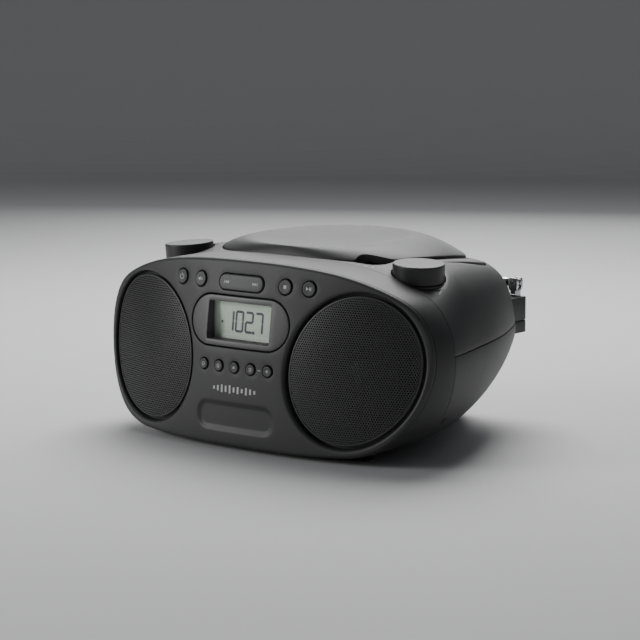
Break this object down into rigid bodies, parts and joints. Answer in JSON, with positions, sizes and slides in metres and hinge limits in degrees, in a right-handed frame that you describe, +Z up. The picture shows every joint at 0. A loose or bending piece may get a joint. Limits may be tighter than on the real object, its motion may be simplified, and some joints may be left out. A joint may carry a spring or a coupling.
{
  "type": "boombox",
  "caption": "Portable disc player and radio with two speakers, hinged disc lid, folding carry handle, knobs and a telescopic antenna.",
  "frame": {"origin": "under the middle of the object, on the surface that its feet stand on", "axes": "+X to the right of someone facing the front, +Y to the back, +Z up"},
  "size_m": [0.2928, 0.2248, 0.1404],
  "materials": {
    "case_plastic": "fine moulded texture, satin",
    "dark_gloss": "smooth",
    "grille_metal": "perforated, satin black",
    "chrome": "polished",
    "steel": "plain",
    "rubber": "soft",
    "circuit_board": "solder mask",
    "cone_paper": "pressed paper",
    "lcd": "grey-green liquid crystal",
    "window": "clear"
  },
  "bodies": {
    "case": {"front_frame": "case_plastic", "upper_rear_shell": "case_plastic", "lower_rear_shell": "case_plastic", "fascia": "case_plastic", "display_bezel": "dark_gloss", "display_lens": "window", "lcd_panel": "lcd", "key_board": "circuit_board", "left_grille": "grille_metal", "right_grille": "grille_metal", "left_speaker": "steel", "right_speaker": "steel", "volume_pot": "steel", "tuning_encoder": "steel", "disc_deck": "case_plastic", "drive_chassis": "case_plastic", "spindle_motor": "steel", "left_guide_rod": "steel", "right_guide_rod": "steel", "lid_hinge_pin": "steel", "left_handle_pin": "steel", "right_handle_pin": "steel", "main_board": "circuit_board", "transformer": "steel", "mains_inlet": "dark_gloss", "battery_tray": "case_plastic", "front_left_foot": "rubber", "front_right_foot": "rubber", "rear_left_foot": "rubber", "rear_right_foot": "rubber", "antenna_base": "chrome"},
    "lid_body": {"lid": "case_plastic"},
    "clamp_body": {"disc_clamp": "dark_gloss"},
    "handle_body": {"handle": "case_plastic"},
    "volume_body": {"volume_knob": "case_plastic"},
    "tuning_body": {"tuning_knob": "case_plastic"},
    "rocker_body": {"skip_rocker": "case_plastic"},
    "turntable_body": {"turntable_hub": "dark_gloss"},
    "sled_body": {"laser_sled": "dark_gloss"},
    "door_body": {"battery_door": "case_plastic"},
    "swivel_body": {"antenna_yoke": "chrome", "antenna_pin": "steel"},
    "mast_1": {"antenna_section_1": "chrome"},
    "mast_2": {"antenna_section_2": "chrome"},
    "mast_3": {"antenna_section_3": "chrome"},
    "mast_4": {"antenna_section_4": "chrome"},
    "left_cone_body": {"left_cone": "cone_paper"},
    "right_cone_body": {"right_cone": "cone_paper"},
    "power_button_body": {"power_button": "case_plastic"},
    "mute_button_body": {"mute_button": "case_plastic"},
    "stop_button_body": {"stop_button": "case_plastic"},
    "play_button_body": {"play_button": "case_plastic"},
    "clock_key_body": {"clock_key": "case_plastic"},
    "disc_key_body": {"disc_key": "case_plastic"},
    "radio_key_body": {"radio_key": "case_plastic"},
    "input_key_body": {"input_key": "case_plastic"},
    "memory_key_body": {"memory_key": "case_plastic"}
  },
  "joints": [
    {"name": "lid_hinge", "type": "hinge", "parent": "case", "child": "lid_body", "pos_m": [0, 0.07337, 0.1207], "axis": [-1, 0, 0], "range_deg": [0, 62]},
    {"name": "clamp_spin", "type": "hinge", "parent": "lid_body", "child": "clamp_body", "pos_m": [0, 0.00857, 0.1245], "axis": [0, 0, 1], "continuous": true},
    {"name": "handle_fold", "type": "hinge", "parent": "case", "child": "handle_body", "pos_m": [0, -0.01043, 0.122], "axis": [1, 0, 0], "range_deg": [0, 90]},
    {"name": "volume_turn", "type": "hinge", "parent": "case", "child": "volume_body", "pos_m": [-0.1028, -0.04163, 0.1301], "axis": [-0.0629, -0.05, 0.9968], "range_deg": [-150, 150]},
    {"name": "tuning_turn", "type": "hinge", "parent": "case", "child": "tuning_body", "pos_m": [0.1028, -0.04163, 0.1301], "axis": [0.0629, -0.05, 0.9968], "continuous": true},
    {"name": "power_press", "type": "slide", "parent": "case", "child": "power_button_body", "axis": [0.1263, 0.9804, -0.1515], "range_m": [0, 0.001], "stiffness_N_per_m": 300},
    {"name": "mute_press", "type": "slide", "parent": "case", "child": "mute_button_body", "axis": [0.0843, 0.9816, -0.1713], "range_m": [0, 0.001], "stiffness_N_per_m": 300},
    {"name": "stop_press", "type": "slide", "parent": "case", "child": "stop_button_body", "axis": [-0.0843, 0.9816, -0.1713], "range_m": [0, 0.001], "stiffness_N_per_m": 300},
    {"name": "play_press", "type": "slide", "parent": "case", "child": "play_button_body", "axis": [-0.1263, 0.9804, -0.1515], "range_m": [0, 0.001], "stiffness_N_per_m": 300},
    {"name": "clock_press", "type": "slide", "parent": "case", "child": "clock_key_body", "axis": [0.0809, 0.9936, -0.079], "range_m": [0, 0.001], "stiffness_N_per_m": 300},
    {"name": "disc_press", "type": "slide", "parent": "case", "child": "disc_key_body", "axis": [0.0405, 0.9961, -0.0785], "range_m": [0, 0.001], "stiffness_N_per_m": 300},
    {"name": "radio_press", "type": "slide", "parent": "case", "child": "radio_key_body", "axis": [0, 0.9969, -0.0784], "range_m": [0, 0.001], "stiffness_N_per_m": 300},
    {"name": "input_press", "type": "slide", "parent": "case", "child": "input_key_body", "axis": [-0.0405, 0.9961, -0.0785], "range_m": [0, 0.001], "stiffness_N_per_m": 300},
    {"name": "memory_press", "type": "slide", "parent": "case", "child": "memory_key_body", "axis": [-0.0809, 0.9936, -0.079], "range_m": [0, 0.001], "stiffness_N_per_m": 300},
    {"name": "skip_rock", "type": "hinge", "parent": "case", "child": "rocker_body", "pos_m": [0, -0.10098, 0.1145], "axis": [0, 0.1872, 0.9823], "range_deg": [-2.5, 2.5], "stiffness_Nm_per_rad": 0.05},
    {"name": "disc_spin", "type": "hinge", "parent": "case", "child": "turntable_body", "pos_m": [0, 0.00857, 0.1125], "axis": [0, 0, 1], "continuous": true},
    {"name": "laser_travel", "type": "slide", "parent": "case", "child": "sled_body", "axis": [0, -1, 0], "range_m": [0, 0.034]},
    {"name": "battery_door_hinge", "type": "hinge", "parent": "case", "child": "door_body", "pos_m": [0, -0.03883, 0.0032], "axis": [-1, 0, 0], "range_deg": [0, 100]},
    {"name": "antenna_swivel", "type": "hinge", "parent": "case", "child": "swivel_body", "pos_m": [0.08, 0.10837, 0.0945], "axis": [0, 0, 1], "range_deg": [-180, 0]},
    {"name": "antenna_tilt", "type": "hinge", "parent": "swivel_body", "child": "mast_1", "pos_m": [0.08, 0.10837, 0.1], "axis": [0, 1, 0], "range_deg": [0, 90]},
    {"name": "mast_slide_2", "type": "slide", "parent": "mast_1", "child": "mast_2", "axis": [-1, 0, 0], "range_m": [0, 0.12]},
    {"name": "mast_slide_3", "type": "slide", "parent": "mast_2", "child": "mast_3", "axis": [-1, 0, 0], "range_m": [0, 0.12]},
    {"name": "mast_slide_4", "type": "slide", "parent": "mast_3", "child": "mast_4", "axis": [-1, 0, 0], "range_m": [0, 0.12]},
    {"name": "left_cone_move", "type": "slide", "parent": "case", "child": "left_cone_body", "axis": [0.2497, 0.9646, -0.085], "range_m": [-0.0015, 0.0015], "stiffness_N_per_m": 600},
    {"name": "right_cone_move", "type": "slide", "parent": "case", "child": "right_cone_body", "axis": [-0.2497, 0.9646, -0.085], "range_m": [-0.0015, 0.0015], "stiffness_N_per_m": 600}
  ]
}
